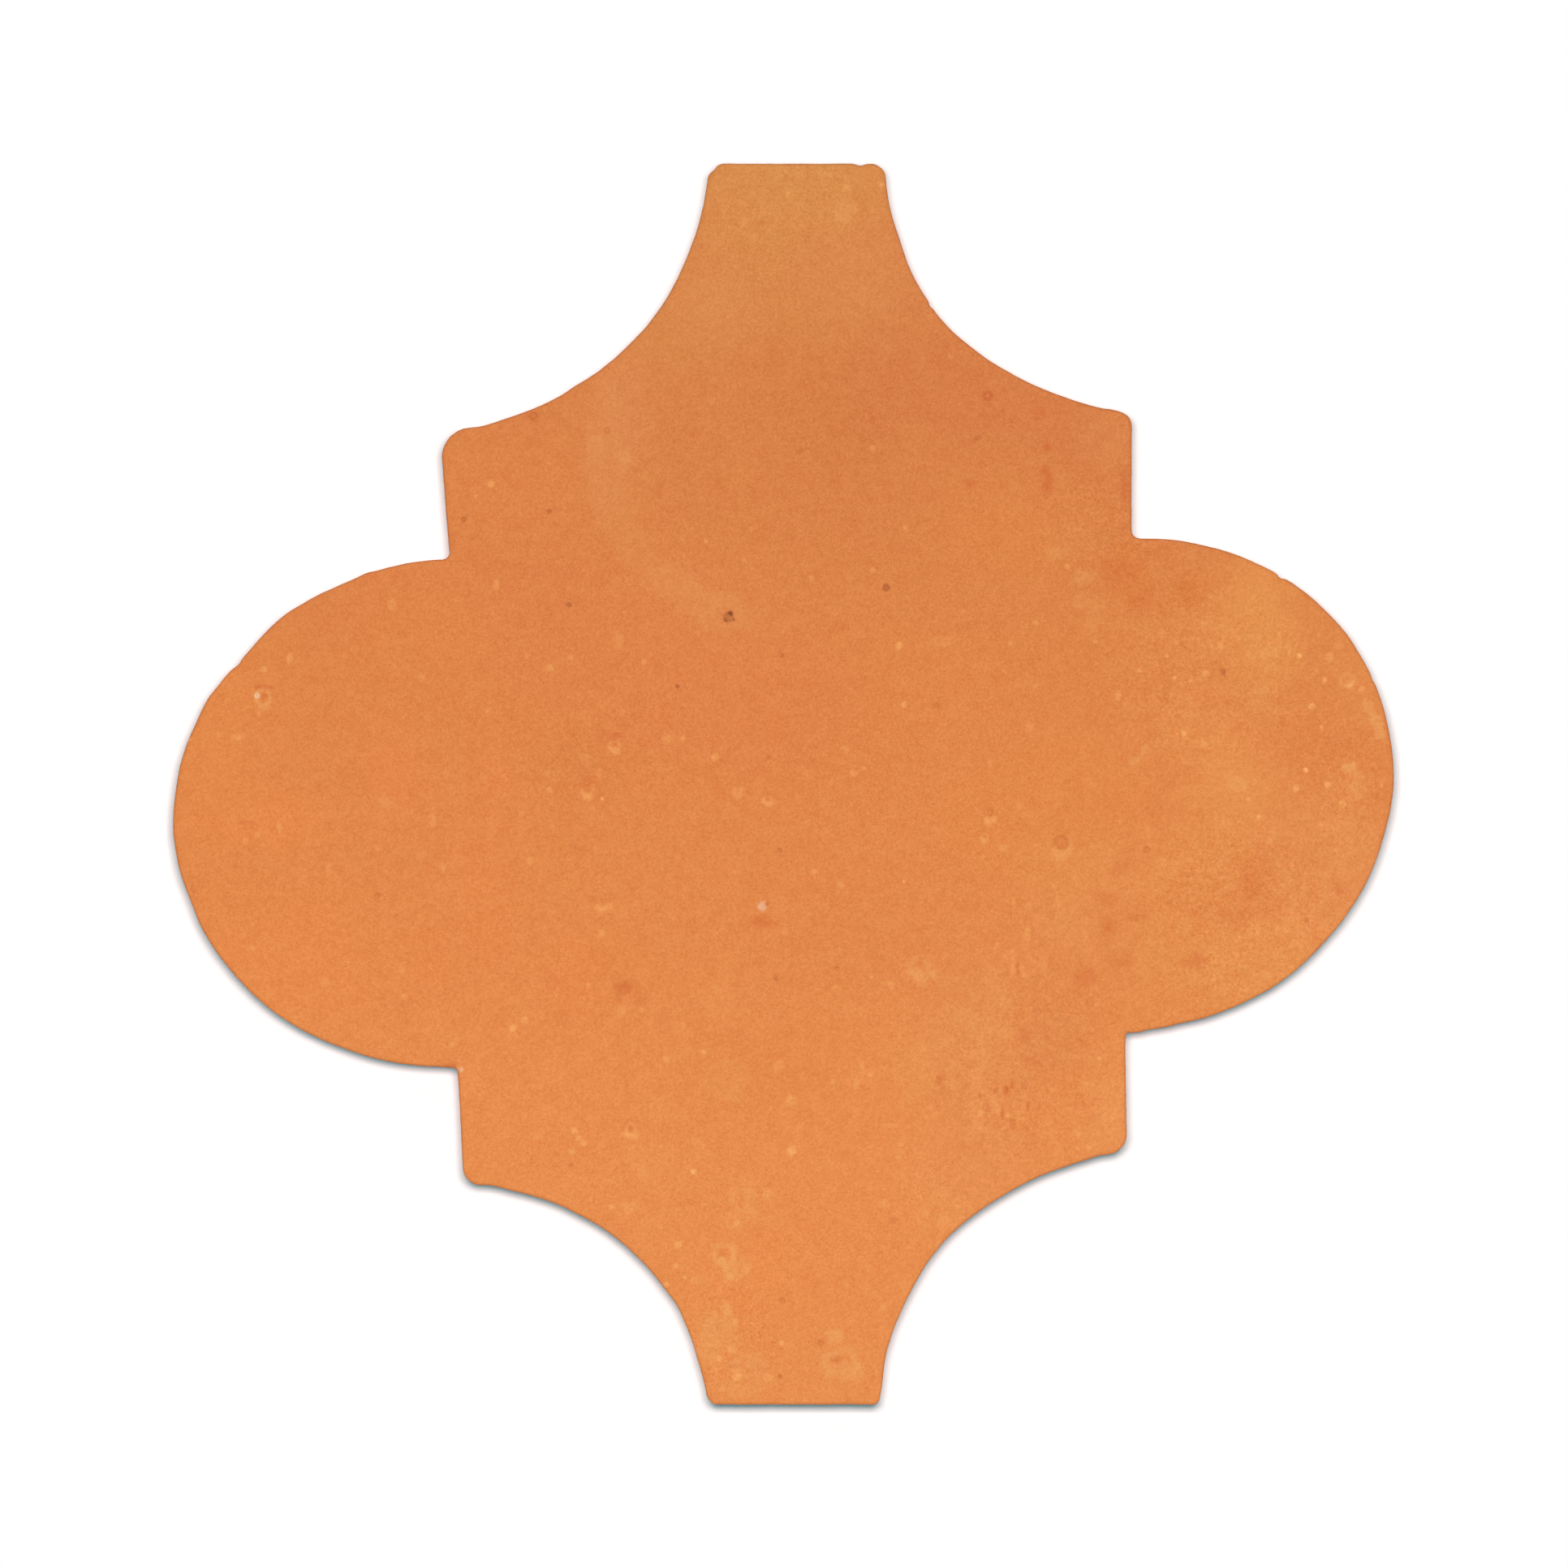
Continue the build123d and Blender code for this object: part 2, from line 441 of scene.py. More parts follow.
# What the clay and the firing left on the face, read off the photograph in its pixels. Some marks
# also carry painted light and shade on their small hollows
faceMarks = {
    # pale grains, as column, row, width and strength
    "flecks": [
        # right lobe
        (1662, 843, 12, 0.6), (1601, 808, 9, 1.2), (1638, 810, 15, 0.45), (1650, 793, 12, 0.25),
        (1622, 825, 8, 0.3), (1677, 849, 9, 0.7), (1616, 870, 11, 0.8), (1628, 895, 5, 1),
        (1459, 904, 9, 0.9), (1483, 916, 13, 0.5), (1472, 915, 6, 0.3), (1609, 948, 8, 1.2),
        (1597, 971, 12, 0.75), (1636, 967, 10, 1.1), (1654, 990, 12, 0.6), (1551, 1007, 9, 0.9),
        (1538, 985, 7, 0.8), (1507, 1013, 6, 0.5), (1527, 1012, 7, 0.55), (1565, 1037, 9, 0.4),
        (1628, 1015, 9, 0.55), (1702, 968, 8, 0.5), (1471, 993, 7, 0.3), (1490, 943, 8, 0.3),
        (1447, 835, 6, 1.0), (1466, 839, 6, 0.7), (1455, 841, 5, 0.5), (1485, 829, 11, 0.7),
        (1504, 796, 9, 0.5), (1483, 768, 10, 0.3), (1450, 792, 7, 0.5), (1438, 808, 6, 0.7),
        (1404, 826, 8, 0.75), (1430, 847, 8, 0.4), (1350, 790, 9, 0.4), (1576, 782, 8, 0.25),
        (1626, 783, 8, 0.25), (1380, 1012, 8, 0.3), (1508, 783, 9, 0.4), (1494, 797, 7, 0.35),
        (1647, 796, 11, 0.35), (1657, 887, 5, 0.4),
        # left lobe
        (302, 1037, 12, 0.35), (317, 1029, 11, 0.35), (325, 1040, 8, 0.3), (325, 825, 11, 0.5),
        (270, 905, 9, 0.4), (232, 912, 7, 1), (520, 834, 12, 0.3), (545, 1068, 11, 0.5),
        (548, 1095, 8, 0.2), (465, 1045, 8, 0.3), (310, 1168, 9, 0.4), (400, 1210, 15, 0.35),
        (495, 1195, 9, 0.4), (497, 1227, 8, 0.5), (319, 878, 8, 0.4),
        # upper body
        (605, 596, 12, 0.6), (586, 611, 6, 0.5), (677, 822, 12, 0.5), (650, 808, 9, 0.3),
        (703, 810, 9, 0.4), (793, 815, 10, 0.4),
        (870, 667, 7, 0.5), (875, 495, 7, 0.3), (926, 652, 8, 0.3), (917, 690, 8, 0.3),
        (700, 725, 8, 0.3), (600, 875, 9, 0.3), (766, 878, 10, 0.35), (1086, 713, 8, 0.1),
        (1190, 482, 9, 0.15), (1315, 698, 9, 0.6), (1075, 552, 11, 0.4), (1265, 593, 8, 0.1),
        (1115, 650, 8, 0.5), (1065, 655, 7, 0.12), (1075, 703, 9, 0.5), (1000, 713, 9, 0.4),
        (1108, 796, 12, 0.7), (1245, 793, 9, 0.4), (1276, 767, 8, 0.5), (1275, 845, 8, 0.3),
        (971, 238, 6, 0.6), (917, 272, 10, 0.3), (957, 269, 8, 0.25), (1086, 228, 8, 0.8),
        (1171, 438, 9, 0.3), (1043, 231, 13, 0.35),
        # middle
        (821, 910, 16, 0.35), (841, 910, 9, 0.45), (881, 933, 13, 0.6), (888, 923, 6, 0.4),
        (739, 949, 7, 0.4), (677, 973, 9, 0.5), (674, 953, 8, 0.3), (742, 984, 6, 0.9),
        (731, 996, 6, 0.5), (643, 1003, 9, 0.4), (653, 1060, 12, 0.45), (742, 1150, 12, 0.5),
        (734, 1046, 9, 0.25), (834, 1056, 10, 0.25), (725, 1214, 8, 0.5), (790, 1244, 8, 0.4),
        (842, 1262, 9, 0.3), (632, 1267, 13, 0.8), (647, 1257, 11, 0.45), (563, 1250, 9, 0.3),
        (1114, 868, 10, 0.65), (1041, 923, 12, 0.35), (1051, 953, 12, 0.5), (1064, 946, 8, 0.4),
        (994, 952, 9, 0.18), (1024, 964, 9, 0.3), (1255, 993, 11, 0.3), (1236, 1045, 13, 0.45),
        (1211, 1056, 8, 0.3), (1003, 1074, 10, 0.5), (1035, 1090, 10, 0.5), (1114, 1086, 6, 0.8),
        (998, 1126, 7, 0.25), (968, 1147, 12, 0.35), (1268, 1116, 11, 0.35), (1030, 1218, 14, 0.3),
        (1074, 1204, 6, 0.8), (1344, 1226, 6, 0.5), (1350, 1238, 6, 0.4), (910, 978, 20, 0.4),
        # lower body and near neck
        (648, 1375, 8, 0.4), (662, 1399, 14, 0.3), (708, 1393, 12, 0.7), (719, 1408, 11, 0.7),
        (705, 1419, 11, 0.6), (712, 1402, 9, 0.6), (500, 1228, 9, 0.3), (557, 1287, 9, 0.35),
        (821, 1305, 11, 0.5), (867, 1296, 7, 0.85), (793, 1446, 20, 0.3), (854, 1444, 9, 1.3),
        (753, 1487, 8, 0.7), (945, 1470, 15, 0.5), (908, 1507, 9, 0.6), (897, 1496, 9, 0.3),
        (836, 1533, 11, 0.75), (832, 1560, 10, 0.6), (845, 1574, 7, 0.7), (821, 1583, 8, 1),
        (907, 1628, 10, 0.5), (886, 1674, 9, 0.9), (903, 1663, 13, 0.5), (908, 1696, 14, 0.9),
        (948, 1698, 12, 0.4), (963, 1655, 8, 0.75), (975, 1418, 15, 0.9), (974, 1355, 18, 0.6),
        (959, 1313, 17, 0.4), (1072, 1324, 7, 0.65), (1027, 1333, 9, 0.55), (1109, 1409, 9, 0.4),
        (1089, 1483, 17, 0.35), (1141, 1494, 12, 0.4), (1124, 1535, 13, 0.2), (1089, 1610, 11, 0.4),
        (1043, 1581, 13, 0.3), (1341, 1413, 10, 0.4), (891, 1711, 10, 0.4), (905, 1538, 12, 0.4),
        # the scaly place at the near right
        (1258, 1135, 6, 0.4), (1229, 1163, 6, 0.6), (1227, 1169, 5, 0.4), (1298, 1091, 6, 0.4),
        (1242, 1374, 7, 0.7), (1260, 1379, 7, 0.5), (1209, 1390, 6, 0.45), (1355, 1304, 7, 0.7),
        (1328, 1397, 7, 0.6), (1347, 1409, 7, 0.4), (1323, 1383, 7, 0.35), (1327, 1415, 8, 0.35),
    ],
    # longer pale grains, as column, row, width, height and strength
    "grains": [
        (1378, 857, 10, 18, 0.6), (1431, 780, 9, 18, 0.35), (1415, 1024, 10, 18, 0.32),
        (483, 744, 14, 24, 0.4), (357, 811, 11, 17, 0.65), (533, 1011, 13, 21, 0.45),
        (405, 1071, 12, 26, 0.35), (293, 908, 20, 10, 0.6), (612, 720, 9, 15, 0.6),
        (761, 789, 18, 32, 0.3), (1268, 896, 13, 20, 0.4), (1220, 939, 8, 15, 0.35),
        (1266, 1151, 9, 26, 0.6), (1248, 1186, 9, 36, 0.25), (1098, 1213, 9, 16, 0.6),
        (766, 1244, 14, 20, 0.4), (1108, 1421, 8, 16, 0.35), (1098, 1387, 24, 8, 0.4),
        (1055, 1335, 10, 20, 0.4), (1061, 1312, 9, 17, 0.4), (1160, 1507, 13, 26, 0.35),
        (1162, 790, 42, 16, 0.25), (344, 1020, 8, 18, 0.45), (1632, 838, 7, 12, 0.8),
        (1249, 1110, 6, 16, 0.4), (1247, 1174, 6, 14, 0.45), (1248, 1194, 6, 20, 0.45),
        (1261, 1200, 6, 12, 0.35), (1303, 1110, 7, 22, 0.4), (1337, 1134, 14, 13, 0.35),
        (1337, 1153, 12, 20, 0.3), (1325, 1080, 5, 13, 0.4), (1233, 1343, 5, 16, 0.4),
        (1228, 1365, 8, 17, 0.45), (1208, 1371, 9, 13, 0.5), (1255, 1375, 6, 20, 0.5),
        (1250, 1360, 6, 12, 0.3), (1238, 1178, 6, 8, 0.35), (1515, 954, 5, 15, 0.3),
    ],
    # pale marks that lean, as column and row of both ends, width and strength
    "smears": [
        (1684, 867, 1692, 884, 13, 0.5), (1694, 886, 1701, 905, 15, 0.65),
        (1392, 937, 1403, 936, 6, 0.5), (1403, 936, 1412, 919, 6, 0.55),
        (889, 1552, 900, 1573, 9, 0.9), (921, 1467, 920, 1484, 8, 0.5),
        (1038, 267, 1047, 259, 18, 0.4), (560, 1282, 552, 1268, 14, 0.12),
        # the ash that drifted down to the hole
        (742, 484, 745, 560, 42, 0.09), (744, 545, 750, 612, 50, 0.13),
        (750, 612, 778, 672, 46, 0.13), (778, 672, 822, 718, 44, 0.14),
        (822, 718, 890, 758, 46, 0.18),
    ],
    # pale lumps that are open at the far side, as column, row, width and strength. Their pale is
    # partly the grain's own colour and partly a painted highlight on the lit near rim of a small
    # hollow, and the red-brown in the hollow and past the far side is painted shade
    "crescentsLitAndShaded": [
        (724, 977, 24, 0.7), (757, 921, 22, 0.65), (742, 1117, 20, 0.75), (776, 1484, 22, 0.45),
        (777, 1395, 24, 0.9), (1220, 1008, 18, 0.7), (1309, 1046, 32, 0.5), (1156, 1020, 15, 0.4),
        (946, 987, 16, 0.75), (1213, 1033, 14, 0.8),
    ],
    # loose lime, whiter than the flecks
    "chalks": [(317, 857, 9, 0.72), (939, 1117, 15, 0.4), (568, 1318, 9, 0.4)],
    # holes and dark specks, as column, row, width and strength. Each is sunk as a hole, and its dark
    # tint is partly painted shade in the hole and partly the speck's own colour
    "pits": [
        (898, 761, 15, 0.4), (900, 756, 8, 0.8), (895, 764, 6, 0.6), (904, 764, 5, 0.5),
        (1507, 828, 8, 0.38), (1092, 724, 10, 0.45), (571, 640, 8, 0.35),
        (676, 630, 7, 0.35), (985, 557, 7, 0.2), (701, 745, 7, 0.45), (835, 846, 6, 0.5),
        (830, 745, 5, 0.2), (964, 808, 6, 0.25), (947, 934, 6, 0.25), (796, 938, 5, 0.2),
        (709, 1045, 5, 0.25), (961, 1048, 7, 0.25), (956, 1206, 6, 0.25), (964, 1603, 8, 0.18),
        (961, 1696, 7, 0.3), (1100, 1504, 8, 0.22), (1011, 1655, 9, 0.23), (1278, 1203, 6, 0.2),
        (1154, 869, 7, 0.2), (1610, 1134, 7, 0.3), (1413, 1047, 9, 0.2), (1031, 1193, 7, 0.2),
        (405, 1015, 5, 0.1), (465, 1104, 7, 0.2), (235, 1098, 6, 0.2), (308, 1048, 6, 0.1),
        (945, 1114, 5, 0.3), (1308, 1037, 20, 0.14), (1220, 1001, 8, 0.1), (748, 530, 8, 0.12),
        (1205, 540, 7, 0.22), (1217, 488, 12, 0.08), (657, 512, 12, 0.12),
    ],
    # thin pale stains, as column, row, width, height and strength
    "washes": [
        (733, 553, 26, 34, 0.3), (770, 562, 20, 18, 0.4), (898, 752, 58, 50, 0.28),
        (1563, 803, 26, 14, 0.5), (1525, 966, 22, 18, 0.5), (1674, 968, 20, 34, 0.5),
        (1662, 946, 20, 14, 0.8), (475, 990, 22, 20, 0.3), (1300, 682, 28, 18, 0.25),
        (1335, 712, 26, 20, 0.35), (1347, 760, 18, 50, 0.18), (895, 1328, 56, 56, 0.2),
        (903, 1350, 26, 20, 0.25), (812, 1366, 38, 32, 0.15), (803, 1426, 70, 30, 0.12),
        (888, 1632, 36, 30, 0.45), (876, 1650, 30, 36, 0.45), (900, 1652, 24, 30, 0.35),
        (895, 1613, 14, 18, 0.8),
        (928, 1679, 20, 18, 0.4), (938, 1698, 26, 22, 0.25), (916, 1712, 50, 24, 0.3),
        (1029, 1646, 24, 20, 0.75), (888, 1236, 54, 40, 0.12), (898, 1228, 14, 14, 0.15),
        (1042, 1685, 32, 22, 0.4), (1554, 852, 20, 17, 0.35), (862, 1577, 22, 14, 0.4),
        (1052, 1692, 26, 20, 0.5), (725, 935, 26, 16, 0.2), (560, 1060, 26, 22, 0.1),
        (1216, 1226, 60, 44, 0.1), (1230, 1270, 50, 40, 0.12), (1190, 1255, 34, 30, 0.2),
        (1370, 1040, 40, 30, 0.12), (1560, 870, 26, 30, 0.15), (1131, 1199, 20, 15, 0.8),
    ],
    # pale rings round a bare middle, as column, row, width, height and strength. A ring is a pale
    # stain, and it is made fainter at its far side as painted shade
    "rings": [
        (892, 1546, 32, 32, 0.9), (1037, 1680, 50, 40, 0.75), (325, 859, 25, 24, 0.9),
        (915, 1478, 34, 32, 0.45), (903, 1506, 22, 14, 0.5), (876, 1645, 40, 50, 0.35),
        (1342, 742, 36, 26, 0.3), (1134, 1192, 28, 30, 0.7), (1660, 837, 19, 19, 0.9),
        (912, 1564, 20, 20, 0.7), (922, 1682, 36, 30, 0.55), (1308, 1136, 17, 18, 0.4),
        (1297, 1337, 13, 14, 0.35),
    ],
    # red-brown fire marks, as column, row, width, height and strength
    "embers": [
        (1385, 700, 76, 44, 0.35), (1392, 712, 36, 28, 0.25), (1405, 742, 40, 36, 0.4),
        (1475, 726, 50, 48, 0.2), (1548, 1080, 50, 66, 0.38), (1545, 1098, 28, 32, 0.42),
        (1530, 1126, 70, 22, 0.25), (1366, 1108, 26, 24, 0.6), (1366, 1141, 28, 28, 0.55),
        (1381, 1182, 46, 24, 0.45), (1380, 1070, 28, 20, 0.40), (1338, 1205, 36, 32, 0.6),
        (1346, 1224, 14, 18, 0.3), (1475, 1185, 40, 24, 0.6), (1470, 1080, 30, 26, 0.1),
        (1650, 1095, 26, 20, 0.45), (769, 1218, 26, 24, 0.85), (786, 1228, 30, 24, 0.35),
        (760, 906, 22, 11, 0.70), (938, 1135, 38, 18, 0.65), (946, 980, 14, 8, 0.2),
        (708, 1405, 50, 60, 0.1), (703, 1436, 10, 8, 0.8), (657, 512, 22, 20, 0.35),
        (1217, 488, 24, 20, 0.35), (1281, 510, 24, 22, 0.5), (1290, 550, 16, 16, 0.7),
        (1291, 592, 18, 44, 0.8), (1386, 602, 18, 56, 0.45), (1195, 595, 16, 16, 0.6),
        (1040, 773, 14, 14, 0.3), (324, 847, 30, 9, 0.9), (326, 858, 9, 9, 0.6),
        (304, 1014, 30, 6, 0.60), (1159, 1330, 16, 18, 0.7), (1166, 1348, 20, 20, 0.35),
        (1239, 1344, 12, 22, 0.45), (1285, 1306, 60, 34, 0.15), (891, 1546, 14, 10, 0.35),
        (906, 1683, 18, 8, 0.70), (1030, 1674, 24, 12, 0.6), (555, 1312, 22, 10, 0.7),
        (774, 1387, 14, 8, 0.45), (1114, 856, 12, 12, 0.35), (1294, 1184, 9, 22, 0.4),
        (1196, 1102, 18, 12, 0.2), (898, 760, 28, 26, 0.3), (1092, 723, 17, 15, 0.2),
        (938, 274, 22, 12, 0.25), (1300, 1240, 26, 34, 0.15), (1254, 1193, 6, 22, 0.6),
        (1241, 1200, 9, 15, 0.4), (1277, 1181, 7, 7, 0.5),
        (1240, 1343, 6, 15, 1.0), (1247, 1337, 5, 12, 0.9), (1207, 1350, 7, 10, 0.7),
        (1226, 1344, 6, 11, 0.7), (1261, 1338, 10, 11, 0.6), (1267, 1363, 6, 13, 0.9),
        (1235, 1373, 6, 20, 0.9), (1248, 1384, 11, 18, 0.6), (1217, 1367, 8, 14, 0.7),
        (1265, 1390, 8, 11, 0.4), (1335, 1360, 8, 10, 0.45), (1273, 1398, 14, 8, 0.35),
        (1400, 1131, 36, 11, 0.45), (1395, 1212, 11, 11, 0.4), (1277, 1245, 20, 11, 0.35),
        (1264, 1277, 20, 28, 0.35), (1135, 1183, 9, 9, 0.6), (1277, 1328, 10, 12, 0.3),
    ],
}

# Where the face is stained in small crisp patches, as column, row, width, height and strength
stainPlaces = [
    (1530, 1130, 330, 300, 1.0), (1260, 1310, 320, 340, 0.7), (1490, 840, 300, 300, 0.7),
    (965, 250, 260, 190, 0.4), (900, 1650, 150, 190, 0.8), (1380, 640, 200, 160, 0.6),
    (1650, 980, 150, 260, 0.7), (760, 930, 420, 170, 0.3), (1160, 1480, 160, 200, 0.6),
]

# Soft clouds of colour, as tone, column, row, width, height, lean in degrees and strength
faceClouds = [
    # far neck and upper body
    ("sage", 965, 205, 330, 170, 0, 0.85), ("sage", 935, 300, 190, 130, 60, 0.3),
    ("moss", 850, 400, 130, 120, 60, 0.2), ("ash", 885, 370, 110, 100, 0, 0.55),
    ("plum", 1120, 330, 100, 140, -30, 0.5), ("ash", 1060, 345, 130, 120, -60, 0.55),
    ("sage", 1090, 450, 130, 90, 0, 0.25), ("dusk", 1035, 500, 180, 190, 0, 0.8),
    ("plum", 1155, 470, 250, 140, -25, 0.5), ("plum", 1310, 535, 170, 110, -20, 0.3),
    ("ash", 1370, 545, 60, 60, 0, 0.4), ("dusk", 830, 560, 80, 210, 10, 0.3),
    ("ash", 770, 500, 80, 150, 8, 0.6), ("ash", 750, 565, 62, 150, 5, 0.3),
    ("ash", 852, 735, 60, 100, 58, 0.3), ("dusk", 1060, 630, 220, 150, 0, 0.3),
    ("dusk", 625, 720, 190, 130, 0, 0.5), ("tan", 560, 770, 200, 140, 0, 0.5),
    ("clay", 620, 600, 200, 180, 0, 0.5), ("ash", 1325, 660, 100, 60, -45, 0.25),
    ("tan", 1245, 650, 170, 120, 0, 0.3),
    # middle
    ("mauve", 700, 780, 480, 230, -8, 0.6), ("mauve", 930, 880, 330, 190, 0, 0.65),
    ("mauve", 430, 740, 200, 90, 15, 0.3), ("tan", 1180, 860, 160, 120, 0, 0.3),
    ("dusk", 715, 940, 110, 90, 0, 0.3), ("tan", 260, 900, 170, 300, 0, 0.5),
    ("olive", 1290, 980, 260, 150, 10, 0.6), ("rose", 486, 950, 90, 130, 0, 0.35),
    ("rose", 616, 965, 50, 150, 10, 0.3), ("rose", 592, 1110, 90, 200, 10, 0.35),
    ("rose", 712, 1205, 90, 110, 0, 0.35), ("rose", 530, 1190, 70, 110, 20, 0.3),
    ("coral", 350, 1190, 260, 190, 20, 0.3), ("coral", 330, 1010, 160, 60, 0, 0.3),
    ("umber", 780, 1195, 120, 90, 0, 0.3), ("clay", 1030, 1150, 240, 150, 0, 0.4),
    ("haze", 1205, 1290, 150, 210, -15, 0.6), ("dust", 1180, 1215, 70, 60, 0, 0.5),
    ("dust", 1290, 1270, 80, 150, -20, 0.7), ("dust", 1372, 1130, 80, 160, 0, 0.4),
    # right lobe
    ("straw", 1550, 770, 120, 170, 10, 0.85), ("straw", 1490, 890, 180, 130, 10, 0.4),
    ("straw", 1440, 785, 170, 80, 0, 0.3), ("straw", 1526, 980, 130, 120, 0, 0.65),
    ("straw", 1465, 1065, 190, 110, 0, 0.45), ("mint", 1610, 1140, 130, 70, 30, 0.6),
    ("mauve", 1625, 900, 120, 120, 0, 0.35), ("haze", 1635, 1060, 170, 150, 0, 0.35),
    ("straw", 1500, 1190, 300, 120, -10, 0.65), ("straw", 1670, 830, 80, 140, 0, 0.4),
    ("straw", 1650, 1020, 90, 130, 0, 0.35), ("mint", 1560, 1180, 150, 110, 0, 0.35),
    ("mint", 1530, 958, 100, 80, 0, 0.25), ("mint", 1385, 1085, 70, 50, 0, 0.2),
    ("haze", 1300, 1130, 90, 120, 0, 0.4), ("straw", 1310, 1070, 130, 80, 0, 0.4),
    # lower body and near neck
    ("sand", 620, 1390, 330, 260, 0, 0.5), ("mint", 1370, 1370, 70, 150, 0, 0.6),
    ("haze", 1200, 1440, 160, 110, 20, 0.4), ("mint", 1165, 1480, 80, 110, 20, 0.3),
    ("mint", 880, 1690, 90, 110, 10, 0.15), ("coral", 935, 1560, 150, 120, 0, 0.3),
    ("straw", 1135, 1325, 110, 110, 0, 0.35), ("sand", 1040, 1470, 220, 330, 0, 0.4),
    ("umber", 930, 1330, 200, 120, 0, 0.3),
]

# Stains that end in a crisp edge, written the same way
faceVeils = [
    ("sage", 930, 215, 900, 460, 7, 0.3), ("rust", 1388, 712, 84, 74, -20, 0.3),
    ("rust", 1468, 730, 54, 54, 0, 0.25), ("mint", 905, 1556, 44, 48, -30, 0.25),
    ("haze", 1632, 1062, 150, 140, 10, 0.35),
]

# Each tone as it looks on the screen
faceTones = {
    "far": (216, 129, 73),  # at the far neck, and down the tile to the near neck
    "middle": (225, 135, 75),
    "near": (231, 142, 80),
    "sage": (216, 143, 80),
    "moss": (216, 138, 78),
    "dusk": (213, 125, 70),
    "plum": (213, 120, 71),
    "ash": (221, 137, 83),
    "clay": (224, 133, 75),
    "tan": (228, 138, 75),
    "coral": (237, 141, 77),
    "rust": (218, 125, 63),
    "mauve": (222, 130, 75),
    "rose": (232, 134, 75),
    "umber": (223, 132, 70),
    "olive": (226, 138, 73),
    "haze": (229, 144, 86),
    "dust": (224, 136, 79),
    "straw": (229, 147, 81),
    "sand": (232, 141, 79),
    "mint": (234, 150, 87),
    "flank": (214, 124, 70),  # the sides
    "flankDeep": (196, 106, 58),
    "bed": (226, 146, 92),  # the underside
    "bedDeep": (205, 118, 68),
}

# The tile's own shape
tileSizes = {
    "sway": ((0.14, 80), (0.05, 22), (0.02, 7)),  # how far, and how long each wave is
    "swayDrop": 0.12,  # how far the face lies below its full height before it sways
    "faceGrid": 1.7,  # between the points of the face
    "footGrid": 3.0,  # between those of the underside
    "softEdge": (0.55, 1.15),  # the rounding at the face, from crisp to worn
    "wearWaves": (12, 4),  # how long the crisp and the worn stretches are, and their seed
    "edgeSteps": (0, 22, 42, 60, 76, 90),  # degrees round it
    # shares of a chip's depth: how far it lowers the edge, and how much it fades downwards
    "chipLean": (0.35, 0.3),
    "sideRows": 15,  # of points down the side
    "drag": 0.16,  # how far the mould's wall dragged the sides in
    # how far each wave of the drag goes, its length along the side and down it, and its seed
    "dragWaves": ((0.10, 30, 1.6, 3), (0.16, 9, 7, 8), (0.08, 3, 2.5, 5)),
    "dragStart": 0.12,  # the share of the side's height in which the drag sets in
    "arris": 0.6,  # the chamfer at the foot
    "arrisSteps": ((0.2, 0.3), (0.6, 0.57)),  # in and down
    "raggedWaves": (5, 6),  # how long its unevenness is, and its seed
    "raggedIn": (0.7, 0.6),  # the least share of a step that it goes in, and what is added to that
    "raggedDown": (0.8, 0.2),  # the same downwards
    "bed": (0.12, 0.22),  # how far the underside lies above the foot, and how rough it is
    "bedLumps": (11, 2, 0.7),  # how long they are, their seed, and how rough they are themselves
}

# The triangles' grid, with its sizes as shares of its step
gridSizes = {
    "rowGap": 0.866,  # between the rows, so that the triangles are even
    "shake": 0.12,  # how far a point strays, so that no rows show
    "clearance": 0.4,  # kept free round a patch of closer points
    "edgeGap": 0.4,  # millimetres kept free along the outline
    "seed": 7,  # of the straying
}

# How closely the face's points follow its marks
patchSizes = {
    "across": {"embers": 6, "washes": 6},  # points across a soft mark
    "acrossCrisp": 8,  # and across any other
    "spacing": (0.26, 0.7),  # the closest and the widest, in millimetres
    "reach": 0.65,  # of a mark's longer side
    "beads": 1.5,  # patches along a smear for each of its widths
}


def faceHeight(points):
    # how high the swaying face lies at each point
    height = -tileSizes["swayDrop"]
    for far, long in tileSizes["sway"]:
        height = height + far * waves(points, long, long)
    return tileThickness + height


def markSizes(kind, mark):
    # the start and the end of a mark's middle line, and its width and height, in millimetres
    start = onFace(*mark[:2])
    if kind == "smears":
        return start, onFace(*mark[2:4]), np.array([mark[4], mark[4]]) * photo["pixel"]
    if kind in ("grains", "washes", "rings", "embers"):
        return start, start, np.array(mark[2:4]) * photo["pixel"]
    return start, start, np.array([mark[2], mark[2]]) * photo["pixel"]


def finePatches():
    # where the face needs closer points for its marks, as middle, reach and spacing
    patches = []
    for kind, marks in faceMarks.items():
        for mark in marks:
            start, end, sizes = markSizes(kind, mark)
            across = patchSizes["across"].get(kind, patchSizes["acrossCrisp"])
            spacing = float(np.clip(sizes.min() / across, *patchSizes["spacing"]))
            widths = np.linalg.norm(end - start) / sizes[0]
            reach = sizes.max() * patchSizes["reach"]
            for share in np.linspace(0, 1, max(1, int(widths * patchSizes["beads"]) + 1)):
                patches.append((start + (end - start) * share, reach, spacing))
    return sorted(patches, key=lambda patch: patch[2])


def treeOf(points):
    # finds the nearest of these points quickly
    found = kdtree.KDTree(len(points))
    for i, (x, y) in enumerate(points):
        found.insert((x, y, 0), i)
    found.balance()
    return found


def insideLoop(points, loop):
    # which points lie inside a loop: those from where a straight way out crosses it an odd
    # number of times
    inside = np.zeros(len(points), bool)
    x, y = points[:, 0], points[:, 1]
    for (x0, y0), (x1, y1) in zip(loop, np.roll(loop, -1, axis=0)):
        if y0 != y1:
            crosses = (y0 > y) != (y1 > y)
            inside ^= crosses & (x < (x1 - x0) * (y - y0) / (y1 - y0) + x0)
    return inside


